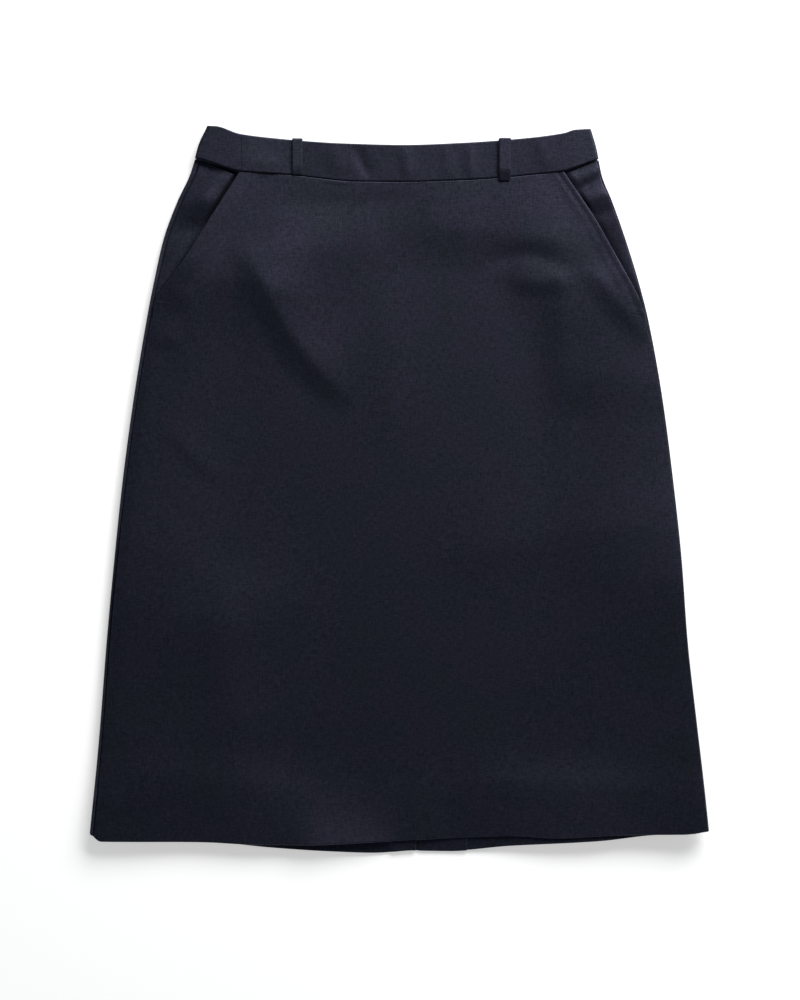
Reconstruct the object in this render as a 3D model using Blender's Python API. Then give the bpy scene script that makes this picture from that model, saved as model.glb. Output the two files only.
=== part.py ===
"""A-line skirt with slanted pockets, belt loops and a back vent, laid flat on its back.

The skirt lies on the surface z = 0 with its front up. +X runs to the right as seen from
above, +Y runs from the hem to the waist, +Z is up. Left and right mean -X and +X.
Sizes in the tables are millimetres; MM turns them into Blender's metres.
"""
import math
from collections import namedtuple

import bmesh
import bpy

MM = 0.001

# ---------------------------------------------------------------- driving sizes
CLOTH = 1.0            # one layer of suiting
HEM_CLOTH = 1.6        # the turned-up hem, pressed
BAND_CLOTH = 1.8       # waistband: outside, stiffening and inside pressed together
LOOP_CLOTH = 1.2       # belt loop, folded and stitched
SEAM_GAP = 0.3         # clear space between neighbouring pieces
INSIDE_GAP = 0.6       # between the back and the layer that its side folds carry
BAND_INSIDE_GAP = 1.2  # between the two sides of the pressed waistband
HEM_DEPTH = 38.0       # height of the turned-up hem
HEM_STEP = 7.0         # over which the hem thins to one layer
SEAM_LAP = 2.0         # how far a side strip runs on under the front

CENTRE_BACK = -4.0     # x of the centre-back seam
VENT_LAP_HEM = 19.5    # underlap past the centre-back seam, at the hem
VENT_LAP_TOP = 30.0    # and at the top of the vent
VENT_FOLD = 6.0        # width over which the underlap climbs on to the other panel

BAND_REST = 1.5        # the band lies this high, on its back belt loops
BAND_REST_FROM = 205.0
BAND_REST_TO = 285.0

FACING_UNDER = 34.0    # pocket facing that runs on under the pocket mouth
FACING_BELOW = 24.0    # and below the mouth's lower end
BAND_SHADOW = 1.0      # facings and side strips end this far below the band
MOUTH_BLEND = 30.0     # over which the side seam runs into the mouth's lower end
HEM_BOW = 150.0        # height over which a row straightens out above the hem
WAIST_BOW = 110.0      # and below the waist
ZIP_LENGTH = 180.0
ZIP_WIDTH = 24.0
ZIP_BELOW_BAND = 1.0

FRONT_COLUMNS = 20
FACING_COLUMNS = 6
FLAT_COLUMNS = 8       # of a hidden back layer, outside the vent
FLAT_START = 30.0      # where those begin, from the centre-back seam
ARC_STEPS = 6          # round a side fold
BAND_SIDE_STEPS = 4    # from a side fold to a pocket mouth
LOOP_STEPS = 4
ZIP_STEPS = 8
VENT_ROUND = 8.0       # below the vent's top the underlap is already at its end
VENT_SEAM_STEP = 1.4   # beside the centre-back seam the underlap has climbed up

Section = namedtuple("Section", "y fold_left fold_right strip_left strip_right")
SECTIONS = (
    # height on the skirt, outer fold at each side, width of back seen at each side
    Section(-326.0, -293.5, 293.5, 3.6, 8.0),
    Section(-272.0, -288.6, 288.0, 3.6, 8.5),
    Section(-219.0, -283.9, 281.9, 3.6, 5.5),
    Section(-143.0, -278.0, 273.5, 3.8, 3.4),
    Section(-67.0, -270.9, 267.9, 3.8, 3.8),
    Section(9.0, -262.9, 259.8, 3.8, 4.6),
    Section(85.0, -252.7, 249.9, 3.8, 3.6),
    Section(161.0, -240.3, 236.4, 4.0, 2.4),
    Section(199.0, -233.0, 226.9, 4.2, 2.4),
    Section(237.0, -224.5, 215.3, 4.6, 2.6),
    Section(275.0, -210.4, 201.8, 5.0, 2.8),
    Section(297.0, -199.8, 192.8, 5.0, 3.0),
    Section(314.0, -194.4, 189.3, 5.0, 3.0),
    Section(326.0, -191.4, 187.0, 5.0, 3.0),
    Section(345.0, -183.4, 181.6, 5.0, 3.0),
)

Point = namedtuple("Point", "x y")
FRONT_HEM = (
    Point(-294.0, -325.4), Point(-283.0, -333.4), Point(-188.0, -334.2), Point(-128.0, -336.8),
    Point(-80.0, -336.5), Point(-22.0, -334.4), Point(43.0, -331.6), Point(113.0, -328.7),
    Point(145.0, -330.3), Point(211.0, -327.2), Point(270.0, -326.2), Point(286.0, -323.9),
    Point(294.0, -323.4),
)
BACK_HEM = (
    Point(-294.0, -325.4), Point(-283.0, -333.4), Point(-180.0, -334.4), Point(-123.0, -339.5),
    Point(-66.0, -343.7), Point(-22.0, -345.5), Point(14.0, -343.2), Point(48.0, -343.6),
    Point(105.0, -338.4), Point(190.0, -333.1), Point(247.0, -327.2), Point(276.0, -326.7),
    Point(294.0, -323.4),
)
WAIST_SEAM = (
    Point(-196.0, 314.7), Point(-189.5, 314.2), Point(-187.0, 313.5), Point(-155.0, 302.9),
    Point(-151.5, 302.2), Point(-104.0, 299.2), Point(-40.0, 293.1), Point(0.0, 292.8),
    Point(58.0, 294.4), Point(95.0, 296.6), Point(131.0, 300.1), Point(153.5, 302.2),
    Point(158.0, 303.3), Point(187.0, 313.3), Point(191.0, 314.6),
)
BAND_TOP = (
    Point(-185.0, 345.2), Point(-175.0, 344.9), Point(-151.0, 337.4), Point(-123.0, 334.0),
    Point(-52.0, 328.9), Point(5.0, 327.5), Point(62.0, 329.6), Point(119.0, 333.8),
    Point(157.0, 338.7), Point(166.0, 341.6), Point(183.0, 342.8),
)
MOUTH_LEFT = (
    Point(-152.2, 302.3), Point(-182.0, 256.0), Point(-202.4, 222.3), Point(-216.3, 201.8),
    Point(-226.0, 188.0), Point(-233.4, 176.0),
)
MOUTH_RIGHT = (
    Point(156.3, 302.6), Point(187.7, 254.5), Point(199.1, 233.8), Point(214.1, 206.2),
    Point(226.0, 183.5), Point(233.8, 163.0),
)

# heights on the side of the skirt where every panel has a row of points, above the hem rows
VENT_TOP = -155.0
MOUTH_TOP = 302.4
SIDE_TOP = 314.0
ROWS_ABOVE_HEM = (
    -250.0, -215.0, -188.0, VENT_TOP - 12.0, VENT_TOP - 6.0, VENT_TOP, -120.0, -84.0, -48.0,
    -12.0, 24.0, 60.0, 96.0, 124.0, 139.0, 152.0, 163.0, 176.0, 192.0, 210.0, 228.0, 246.0,
    264.0, 280.0, 292.0, MOUTH_TOP, SIDE_TOP,
)

SideLift = namedtuple("SideLift", "y left right left_reach right_reach")
SIDE_LIFTS = (
    # how far both layers stand off the surface at each side fold, and how far in that reaches
    SideLift(-345.0, 10.0, 10.8, 230.0, 230.0),
    SideLift(-300.0, 9.2, 10.2, 210.0, 210.0),
    SideLift(-250.0, 6.6, 9.0, 180.0, 190.0),
    SideLift(-160.0, 5.0, 7.4, 150.0, 170.0),
    SideLift(-50.0, 5.2, 7.2, 120.0, 140.0),
    SideLift(20.0, 4.8, 6.0, 125.0, 130.0),
    SideLift(85.0, 4.6, 6.4, 120.0, 125.0),
    SideLift(180.0, 4.0, 4.4, 84.0, 110.0),
    SideLift(240.0, 1.8, 1.4, 64.0, 80.0),
    SideLift(300.0, 0.5, 0.3, 60.0, 70.0),
    SideLift(345.0, 0.0, 0.0, 60.0, 70.0),
)

Mound = namedtuple("Mound", "x y reach_x reach_y height")
HEM_LIFTS = (
    # where both layers of the hem stand off the surface between its corners
    Mound(-108.0, -350.0, 110.0, 110.0, 6.0),
    Mound(150.0, -345.0, 110.0, 100.0, 5.5),
)

Fold = namedtuple("Fold", "x y angle half_length left_width right_width height")
FRONT_FOLDS = (
    # soft ridges of the front; left and right are seen looking along the angle
    Fold(-82.0, 124.0, -50.0, 120.0, 80.0, 34.0, 1.6),
    Fold(-190.0, -288.0, 0.0, 120.0, 55.0, 42.0, 0.9),
    Fold(125.0, -286.0, -2.0, 170.0, 55.0, 40.0, 0.9),
    Fold(165.0, 232.0, -12.0, 120.0, 40.0, 34.0, 0.8),
    Fold(-215.0, 60.0, 80.0, 150.0, 40.0, 60.0, 0.8),
    Fold(120.0, 20.0, 62.0, 160.0, 60.0, 70.0, 0.9),
)

Loop = namedtuple("Loop", "name x width low_end front")
LOOPS = (
    Loop("belt_loop_front_left", -96.9, 9.6, 299.8, True),
    Loop("belt_loop_front_right", 100.1, 10.4, 293.2, True),
    Loop("belt_loop_back_left", -96.9, 9.2, 299.4, False),
    Loop("belt_loop_back_right", 100.1, 10.0, 296.8, False),
)

# ---------------------------------------------------------------- drawing helpers


def smooth_curve(pairs):
    """Return a function through (place, value) pairs that never overshoots them."""
    pairs = sorted(pairs)
    places = [pair[0] for pair in pairs]
    values = [pair[1] for pair in pairs]
    steps = [(values[i + 1] - values[i]) / (places[i + 1] - places[i])
             for i in range(len(pairs) - 1)]
    slopes = [steps[0]]
    for before, after in zip(steps, steps[1:]):
        turns = before * after <= 0.0
        slopes.append(0.0 if turns else 2.0 * before * after / (before + after))
    slopes.append(steps[-1])

    def value_at(place):
        place = min(max(place, places[0]), places[-1])
        i = 0
        while i < len(places) - 2 and place > places[i + 1]:
            i += 1
        width = places[i + 1] - places[i]
        t = (place - places[i]) / width
        low = values[i] * (1 + 2 * t) * (1 - t) ** 2 + values[i + 1] * t * t * (3 - 2 * t)
        bend = slopes[i] * t * (1 - t) ** 2 - slopes[i + 1] * t * t * (1 - t)
        return low + bend * width

    return value_at


def mix(start, end, share):
    return start + (end - start) * share


def ease(low, high, value):
    """Return 0 below low and 1 above high, with a soft rise between them."""
    t = min(max((value - low) / (high - low), 0.0), 1.0)
    return t * t * (3.0 - 2.0 * t)


def hump(distance):
    """Return 1 at distance 0, falling softly to 0 at distance 1."""
    return (1.0 - distance * distance) ** 2 if abs(distance) < 1.0 else 0.0


fold_left = smooth_curve([(s.y, s.fold_left) for s in SECTIONS])
fold_right = smooth_curve([(s.y, s.fold_right) for s in SECTIONS])
strip_left = smooth_curve([(s.y, s.strip_left) for s in SECTIONS])
strip_right = smooth_curve([(s.y, s.strip_right) for s in SECTIONS])
front_hem = smooth_curve(FRONT_HEM)
back_hem = smooth_curve(BACK_HEM)
waist_seam = smooth_curve(WAIST_SEAM)
band_top = smooth_curve(BAND_TOP)
mouth_left = smooth_curve([(p.y, p.x) for p in MOUTH_LEFT])
mouth_right = smooth_curve([(p.y, p.x) for p in MOUTH_RIGHT])
lift_left = smooth_curve([(s.y, s.left) for s in SIDE_LIFTS])
lift_right = smooth_curve([(s.y, s.right) for s in SIDE_LIFTS])
reach_left = smooth_curve([(s.y, s.left_reach) for s in SIDE_LIFTS])
reach_right = smooth_curve([(s.y, s.right_reach) for s in SIDE_LIFTS])


def fold_x(side, y):
    return fold_left(y) if side < 0 else fold_right(y)


def strip_width(side, y):
    return strip_left(y) if side < 0 else strip_right(y)


def mouth_end(side):
    return MOUTH_LEFT[-1].y if side < 0 else MOUTH_RIGHT[-1].y


def mouth_x(side, y):
    return mouth_left(y) if side < 0 else mouth_right(y)


def front_edge_x(side, y):
    """Return x of the front's free edge: side seam below, pocket mouth above."""
    if y >= mouth_end(side):
        return mouth_x(side, y)
    blend = ease(mouth_end(side) - MOUTH_BLEND, mouth_end(side), y)
    seam = fold_x(side, y) - side * strip_width(side, y)
    return mix(seam, mouth_x(side, mouth_end(side)), blend)


# ---------------------------------------------------------------- heights


def lift(x, y):
    """Return how far both layers stand off the surface at a place."""
    height = BAND_REST * ease(BAND_REST_FROM, BAND_REST_TO, y)
    height += lift_left(y) * hump((x - fold_left(y)) / reach_left(y))
    height += lift_right(y) * hump((x - fold_right(y)) / reach_right(y))
    for mound in HEM_LIFTS:
        height += mound.height * (hump((x - mound.x) / mound.reach_x)
                                  * hump((y - mound.y) / mound.reach_y))
    return height


def ridges(x, y):
    """Return the height of the front's own soft folds at a place."""
    height = 0.0
    for fold in FRONT_FOLDS:
        turn = math.radians(fold.angle)
        along = (x - fold.x) * math.cos(turn) + (y - fold.y) * math.sin(turn)
        across = (y - fold.y) * math.cos(turn) - (x - fold.x) * math.sin(turn)
        width = fold.left_width if across > 0 else fold.right_width
        height += fold.height * hump(along / fold.half_length) * hump(across / width)
    return height


def hem_share(above_hem):
    """Return 1 on the turned-up hem and 0 above it."""
    return 1.0 - ease(HEM_DEPTH, HEM_DEPTH + HEM_STEP, above_hem)


def cloth_at(above_hem):
    return mix(CLOTH, HEM_CLOTH, hem_share(above_hem))


def strip_top(above_hem):
    """Return the outer height of the layer that the side folds carry."""
    return 2.0 * cloth_at(above_hem) + INSIDE_GAP


def front_top(x, y):
    above_hem = y - front_hem(x)
    return (lift(x, y) + strip_top(above_hem) + SEAM_GAP + cloth_at(above_hem)
            + ridges(x, y))


# ---------------------------------------------------------------- solids


def cloth_material(name, colour, roughness):
    material = bpy.data.materials.new(name)
    material.use_nodes = True
    shader = material.node_tree.nodes["Principled BSDF"]
    shader.inputs["Base Color"].default_value = (*colour, 1.0)
    shader.inputs["Roughness"].default_value = roughness
    shader.inputs["Metallic"].default_value = 0.0
    material.diffuse_color = (*colour, 1.0)
    return material


def cloth_wall(name, rows, thickness, material, thin_share=None):
    """Make a wall from rows of outer points, grown inwards by Solidify.

    thin_share, where given, holds each point's share of the full thickness.
    """
    mesh = bpy.data.meshes.new(name)
    work = bmesh.new()
    grid = [[work.verts.new([size * MM for size in point]) for point in row] for row in rows]
    for low, high in zip(grid, grid[1:]):
        for i in range(len(low) - 1):
            work.faces.new((low[i], low[i + 1], high[i + 1], high[i]))
    work.to_mesh(mesh)
    work.free()
    mesh.materials.append(material)
    wall = bpy.data.objects.new(name, mesh)
    bpy.context.scene.collection.objects.link(wall)

    solidify = wall.modifiers.new("cloth", "SOLIDIFY")
    solidify.thickness = thickness * MM
    solidify.offset = -1.0
    solidify.use_even_offset = True
    if thin_share:
        group = wall.vertex_groups.new(name="thickness")
        shares = [share for row in thin_share for share in row]
        for index, share in enumerate(shares):
            group.add([index], share, "REPLACE")
        solidify.vertex_group = group.name
    return wall


def side_low(side):
    return back_hem(fold_x(side, SECTIONS[0].y))


def side_rows(side, top=SIDE_TOP):
    """Return the heights of a side's rows, from the hem up to top."""
    low = side_low(side)
    hem_rows = [low, low + HEM_DEPTH / 2.0, low + HEM_DEPTH, low + HEM_DEPTH + HEM_STEP]
    return hem_rows + [y for y in ROWS_ABOVE_HEM if y <= top]


def bow(y_side, low, hem_offset, waist_offset, top=SIDE_TOP):
    """Return y of a point in a row that follows the hem below and the waist above."""
    near_hem = 1.0 - ease(low, low + HEM_BOW, y_side)
    near_waist = ease(top - WAIST_BOW, top, y_side)
    return y_side + hem_offset * near_hem + waist_offset * near_waist


def build_front(material):
    """Front panel: hem to waist seam, side seams below, pocket mouths above."""
    low_left = side_low(-1)
    low_right = side_low(1)
    waist_left = front_edge_x(-1, MOUTH_TOP)
    waist_right = front_edge_x(1, MOUTH_TOP)
    rows = []
    shares = []
    for y_left, y_right in zip(side_rows(-1, MOUTH_TOP), side_rows(1, MOUTH_TOP)):
        x_left = front_edge_x(-1, y_left)
        x_right = front_edge_x(1, y_right)
        row = []
        thin = []
        for i in range(FRONT_COLUMNS + 1):
            u = i / FRONT_COLUMNS
            x = mix(x_left, x_right, u)
            low = mix(low_left, low_right, u)
            x_waist = mix(waist_left, waist_right, u)
            y = bow(mix(y_left, y_right, u), low, front_hem(x) - low,
                    waist_seam(x_waist) - SEAM_GAP - MOUTH_TOP, MOUTH_TOP)
            row.append((x, y, front_top(x, y)))
            thin.append(cloth_at(y - front_hem(x)) / HEM_CLOTH)
        rows.append(row)
        shares.append(thin)
    return cloth_wall("front_panel", rows, HEM_CLOTH, material, shares)


def flat_columns(side, edge, fold_centre):
    """Return the columns of a hidden back layer, from the centre back to its side fold."""
    start = CENTRE_BACK + side * FLAT_START
    near = [edge, CENTRE_BACK + side * VENT_FOLD / 2.0, CENTRE_BACK + side * VENT_FOLD]
    far = [mix(start, fold_centre, i / FLAT_COLUMNS) for i in range(FLAT_COLUMNS + 1)]
    return near + far


def build_back(side, name, material):
    """Back panel: centre-back seam, round the side fold, to its strip beside the front."""
    low = side_low(side)
    rows = []
    shares = []
    for y_side in side_rows(side):
        above_hem = y_side - low
        radius = strip_top(above_hem) / 2.0
        outer = fold_x(side, y_side)
        centre = outer - side * radius
        edge = CENTRE_BACK + side * SEAM_GAP / 2.0
        on_vent = side < 0 and y_side < VENT_TOP
        places = [(x, 0.0) for x in flat_columns(side, edge, centre)]
        if on_vent:
            climb = cloth_at(above_hem) + SEAM_GAP
            reach = mix(VENT_LAP_HEM, VENT_LAP_TOP, above_hem / (VENT_TOP - low))
            if y_side > VENT_TOP - VENT_ROUND:
                reach = 0.0
            places[0] = (edge + reach, climb)
            places[1] = (edge - VENT_SEAM_STEP, climb)
        for i in range(1, ARC_STEPS + 1):
            angle = math.pi * i / ARC_STEPS
            places.append((centre + side * radius * math.sin(angle),
                           radius * (1.0 - math.cos(angle))))
        lap = strip_width(side, y_side) + SEAM_LAP
        places.append((outer - side * lap, 2.0 * radius))
        row = []
        for x, height in places:
            clear = BAND_SHADOW if height > radius else SEAM_GAP
            y = bow(y_side, low, back_hem(x) - low, waist_seam(x) - clear - SIDE_TOP)
            row.append((x, y, lift(x, y) + height))
        if side > 0:
            row.reverse()
        rows.append(row)
        shares.append([cloth_at(above_hem) / HEM_CLOTH] * len(row))
    return cloth_wall(name, rows, HEM_CLOTH, material, shares)


def build_facing(side, name, material):
    """Pocket facing: fills the slanted mouth and runs on under the front."""
    low = side_low(side)
    rows = []
    for y_side in side_rows(side):
        if y_side < mouth_end(side) - FACING_BELOW:
            continue
        strip_edge = strip_width(side, y_side) + SEAM_LAP
        outer = fold_x(side, y_side) - side * (strip_edge + SEAM_GAP)
        inner = mouth_x(side, y_side) - side * FACING_UNDER
        row = []
        for i in range(FACING_COLUMNS + 1):
            x = mix(outer, inner, i / FACING_COLUMNS)
            y = bow(y_side, low, back_hem(x) - low, waist_seam(x) - BAND_SHADOW - SIDE_TOP)
            row.append((x, y, lift(x, y) + 2.0 * CLOTH + INSIDE_GAP))
        if side > 0:
            row.reverse()
        rows.append(row)
    return cloth_wall(name, rows, CLOTH, material)


def band_columns(left, right):
    """Return (x, angle round the pressed fold) right round the band."""
    radius = BAND_CLOTH + BAND_INSIDE_GAP / 2.0
    arc = [math.pi * i / ARC_STEPS for i in range(1, ARC_STEPS)]
    edge = SEAM_GAP / 2.0
    mouth_x_left = MOUTH_LEFT[0].x
    mouth_x_right = MOUTH_RIGHT[0].x
    places = [(x, 0.0) for x in flat_columns(-1, CENTRE_BACK - edge, left)]
    places += [(left - radius * math.sin(angle), angle) for angle in arc]
    stops = [mix(left, mouth_x_left, i / BAND_SIDE_STEPS) for i in range(BAND_SIDE_STEPS)]
    stops += [mix(mouth_x_left, mouth_x_right, i / FRONT_COLUMNS) for i in range(FRONT_COLUMNS)]
    stops += [mix(mouth_x_right, right, i / BAND_SIDE_STEPS) for i in range(BAND_SIDE_STEPS + 1)]
    places += [(x, math.pi) for x in stops]
    places += [(right + radius * math.sin(angle), angle) for angle in reversed(arc)]
    places += [(x, 0.0) for x in reversed(flat_columns(1, CENTRE_BACK + edge, right))]
    return places


def build_band(material):
    """Waistband: one pressed strip from the centre back all the way round."""
    radius = BAND_CLOTH + BAND_INSIDE_GAP / 2.0
    rows = []
    for share in (0.0, 0.5, 1.0):
        y_left = mix(SIDE_TOP, BAND_TOP[0].y, share)
        y_right = mix(SIDE_TOP, BAND_TOP[-1].y, share)
        left = fold_x(-1, y_left) + radius
        right = fold_x(1, y_right) - radius
        row = []
        for x, angle in band_columns(left, right):
            y = mix(waist_seam(x), band_top(x), share)
            row.append((x, y, lift(x, y) + radius * (1.0 - math.cos(angle))))
        rows.append(row)
    return cloth_wall("waistband", rows, BAND_CLOTH, material)


def build_loop(loop, material):
    """Belt loop: a stitched strip over the band, its upper end turned over the top edge."""
    band_height = 2.0 * BAND_CLOTH + BAND_INSIDE_GAP
    outside = SEAM_GAP + LOOP_CLOTH
    top = max(band_top(loop.x - loop.width / 2.0), band_top(loop.x + loop.width / 2.0)) + outside
    path = [(mix(loop.low_end, top - outside, i / LOOP_STEPS), outside)
            for i in range(LOOP_STEPS + 1)]
    for i in range(1, LOOP_STEPS + 1):
        angle = math.pi / 2.0 * i / LOOP_STEPS
        path.append((top - outside * (1.0 - math.sin(angle)), outside * math.cos(angle)))
    path.append((top, -BAND_CLOTH))
    rows = []
    for y, height in path:
        half = loop.width / 2.0
        row = [(loop.x - half, y), (loop.x + half, y)]
        level = band_height + height if loop.front else -height
        if not loop.front:
            row.reverse()
        rows.append([(x, y, lift(x, y) + level) for x, y in row])
    return cloth_wall(loop.name, rows, LOOP_CLOTH, material)


def build_zip(material):
    """Concealed zip: one closed strip inside the centre-back seam, below the band."""
    top = waist_seam(CENTRE_BACK) - ZIP_BELOW_BAND
    rows = []
    for i in range(ZIP_STEPS + 1):
        y = mix(top - ZIP_LENGTH, top, i / ZIP_STEPS)
        height = lift(CENTRE_BACK, y) + 2.0 * CLOTH + SEAM_GAP
        rows.append([(CENTRE_BACK + side * ZIP_WIDTH / 2, y, height) for side in (-1, 0, 1)])
    return cloth_wall("zip_centre_back", rows, CLOTH, material)


def main():
    for leftover in list(bpy.data.objects):
        bpy.data.objects.remove(leftover, do_unlink=True)

    navy = (0.0130, 0.0140, 0.0210)
    front = cloth_material("front_wool", navy, 0.82)
    back = cloth_material("back_wool", navy, 0.82)
    facing = cloth_material("facing_wool", (0.0120, 0.0130, 0.0200), 0.84)
    band = cloth_material("band_wool", (0.0140, 0.0150, 0.0230), 0.80)
    loops = cloth_material("loop_wool", (0.0140, 0.0150, 0.0225), 0.80)
    tape = cloth_material("zip_tape", (0.0070, 0.0080, 0.0130), 0.70)

    build_front(front)
    build_back(-1, "back_panel_left", back)
    build_back(1, "back_panel_right", back)
    build_facing(-1, "pocket_facing_left", facing)
    build_facing(1, "pocket_facing_right", facing)
    build_band(band)
    for loop in LOOPS:
        build_loop(loop, loops)
    build_zip(tape)


main()
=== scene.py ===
# %% [markdown]
# # A-line skirt in navy worsted, laid flat on its back
#
# The real thing is a tailored skirt: one front, two backs joined at the centre, slanted
# pockets with a facing behind each mouth, a stiffened waistband and belt loops. It lies on a
# white surface, so its two layers rest on each other and fold over at the sides.
#
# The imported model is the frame: it has every piece at its real size. Each visible cloth
# piece below is a finer shell on the same form, with its creases, rolled edges and stitches.

# %% Load the frame
import math

import bpy
import numpy as np
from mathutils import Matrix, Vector


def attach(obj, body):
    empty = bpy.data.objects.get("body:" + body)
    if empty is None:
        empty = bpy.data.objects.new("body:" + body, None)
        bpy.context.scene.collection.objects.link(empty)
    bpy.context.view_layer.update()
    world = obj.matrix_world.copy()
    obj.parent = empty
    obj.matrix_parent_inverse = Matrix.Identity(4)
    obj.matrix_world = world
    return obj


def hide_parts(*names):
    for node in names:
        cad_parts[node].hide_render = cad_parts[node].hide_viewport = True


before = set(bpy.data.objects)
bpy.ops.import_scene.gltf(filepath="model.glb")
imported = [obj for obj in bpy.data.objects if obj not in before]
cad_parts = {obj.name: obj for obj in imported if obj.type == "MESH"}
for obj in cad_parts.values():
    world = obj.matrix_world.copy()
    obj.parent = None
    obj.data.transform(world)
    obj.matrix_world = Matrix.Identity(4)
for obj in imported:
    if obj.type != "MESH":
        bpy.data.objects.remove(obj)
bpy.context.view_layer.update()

# %% [markdown]
# ## Camera
#
# The skirt lies on its back, so the camera hangs straight above it and looks down. A long
# lens far away keeps the sides straight; a short one close by would spread the hem.

# %% Hang the camera above the skirt
MM = 0.001
VIEW_HEIGHT = 0.950
VIEW_CENTRE = (0.0005, -0.0100)
CLOTH_LEVEL = 0.006
LENS_MM = 85.0


def add_object(name, data):
    """Put an object with this data into the scene."""
    made = bpy.data.objects.new(name, data)
    bpy.context.scene.collection.objects.link(made)
    return made


camera_data = bpy.data.cameras.new("overhead_camera")
camera_data.lens = LENS_MM
camera = add_object("overhead_camera", camera_data)
camera_distance = VIEW_HEIGHT * LENS_MM / camera_data.sensor_width
camera.location = (*VIEW_CENTRE, CLOTH_LEVEL + camera_distance)
bpy.context.scene.camera = camera
print("camera height, m:", round(camera.location.z, 3))

# %% [markdown]
# ## Colour and node helpers
#
# Colours are written as sRGB hex, as a colour card gives them, and one function turns them
# into the linear values that the renderer works in. The room's light and the table's glow
# are linear already, because one channel is over 1. One function adds a node with its
# settings and links. The others set the sockets of a surface's own shader.

# %% Helpers for materials


def linear(hex_colour):
    """Turn an sRGB hex colour into linear RGBA."""
    channels = [int(hex_colour[i:i + 2], 16) / 255.0 for i in (1, 3, 5)]
    return [c / 12.92 if c <= 0.04045 else ((c + 0.055) / 1.055) ** 2.4 for c in channels] + [1.0]


def set_inputs(owner, node, inputs):
    """Set a node's inputs; inputs holds (socket, value or output socket) pairs."""
    for socket, value in dict(inputs).items():
        if isinstance(value, bpy.types.NodeSocket):
            owner.node_tree.links.new(value, node.inputs[socket])
        else:
            node.inputs[socket].default_value = value


def add_node(owner, kind, inputs=(), **settings):
    """Add a node to a material or a world, with its settings and links."""
    node = owner.node_tree.nodes.new(kind)
    for name, value in settings.items():
        setattr(node, name, value)
    set_inputs(owner, node, inputs)
    return node


def set_surface(material, inputs):
    """Set or link sockets of the material's own shader."""
    set_inputs(material, material.node_tree.nodes["Principled BSDF"], inputs)


def new_material(name, inputs):
    """Return a material whose shader has these values."""
    material = bpy.data.materials.new(name)
    material.use_nodes = True
    set_surface(material, inputs)
    return material


# %% [markdown]
# ## Light
#
# One large soft light stands beyond the waist, on the right: it makes the waist brighter
# than the hem and lays a soft shadow below the hem and along the left side. A pale room
# fills the rest. It is bright near the horizon, like white walls, and dark overhead,
# where the camera hangs, so that the dark cloth mirrors little light straight back.

# %% Light the scene
KEY_PLACE = Vector((1.02, 1.96, 1.38))
KEY_AIM = Vector((0.0, -0.05, 0.0))
KEY_SIZE = (1.9, 1.35)
KEY_WATTS = 96.0
OVERHEAD = 0.06
HORIZON = 0.42
ROOM_COLOUR = (0.84, 0.98, 1.13, 1.0)

key_data = bpy.data.lights.new("window_light", "AREA")
key_data.shape = "RECTANGLE"
key_data.size, key_data.size_y = KEY_SIZE
key_data.energy = KEY_WATTS
key = add_object("window_light", key_data)
key.location = KEY_PLACE
key.rotation_euler = (KEY_AIM - KEY_PLACE).to_track_quat("-Z", "Y").to_euler()

world = bpy.data.worlds.new("white_room")
world.use_nodes = True
direction = add_node(world, "ShaderNodeTexCoord").outputs["Generated"]
upward = add_node(world, "ShaderNodeSeparateXYZ", {"Vector": direction}).outputs["Z"]
brightness = add_node(world, "ShaderNodeMapRange", {
    "Value": upward, "From Min": 0.0, "From Max": 1.0, "To Min": HORIZON, "To Max": OVERHEAD},
    interpolation_type="SMOOTHSTEP").outputs["Result"]
set_inputs(world, world.node_tree.nodes["Background"],
           {"Strength": brightness, "Color": ROOM_COLOUR})
bpy.context.scene.world = world
bpy.context.scene.view_settings.view_transform = "Standard"

# %% [markdown]
# ## White acrylic table, lit from below
#
# Clothes are often laid on a sheet of opal acrylic with lamps under it, which keeps the
# ground white and the shadows pale. The sheet scatters nine tenths of the light that falls
# on it, and glows evenly by itself.

# %% Lay the table
TABLE_GAP = 0.3 * MM
TABLE_SIZE = 8.0
TABLE_GLOW = 0.46
TABLE_GLOW_COLOUR = (1.03, 1.0, 0.96, 1.0)

table_mesh = bpy.data.meshes.new("table_top")
half = TABLE_SIZE / 2.0
table_corners = [(-half, -half, 0.0), (half, -half, 0.0), (half, half, 0.0), (-half, half, 0.0)]
table_mesh.from_pydata(table_corners, [], [(0, 1, 2, 3)])
table = add_object("table_top", table_mesh)
table.location.z = -TABLE_GAP

acrylic = new_material("opal_acrylic", {
    "Base Color": linear("#F2F2F2"), "Roughness": 0.9, "Specular IOR Level": 0.1,
    "Emission Color": TABLE_GLOW_COLOUR, "Emission Strength": TABLE_GLOW})
table_mesh.materials.append(acrylic)

# %% [markdown]
# ## Worsted suiting
#
# Smooth plain-woven wool, dyed in the yarn and pressed. Dark and light navy fibres are
# spun together, so each thread changes tone along its length: short upright streaks in
# the warp and short level ones in the weft. Most of what reaches the eye is light mirrored
# by the pressed fibres, so the streaks and some slow patches of violet and grey-blue tint
# that mirrored light. Threads lie about 0.4 mm apart, too fine to show here, so the
# streaks are drawn 1 to 2 mm wide.

# %% Make the suiting material
STREAK_WIDTH = 1.3 * MM
STREAK_LENGTH = 5.0 * MM
WEAVE_RELIEF = 0.055 * MM
# the two noises' sum that gives the darkest thread, and the lightest
TONE_RANGE = (0.72, 1.28)
# darkest and lightest thread: the cloth's own colour, and how much light it mirrors
CLOTH_TONES = ("#0B0D10", "#101218")
MIRROR_TONES = ("#B6B6B6", "#FFFFFF")
PATCH_SIZE = 60.0 * MM
# place along the patches' noise, and the tint there
PATCH_TINTS = ((0.38, "#C8D1F0"), (0.5, "#CED0FF"), (0.62, "#D8CCFF"))


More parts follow.
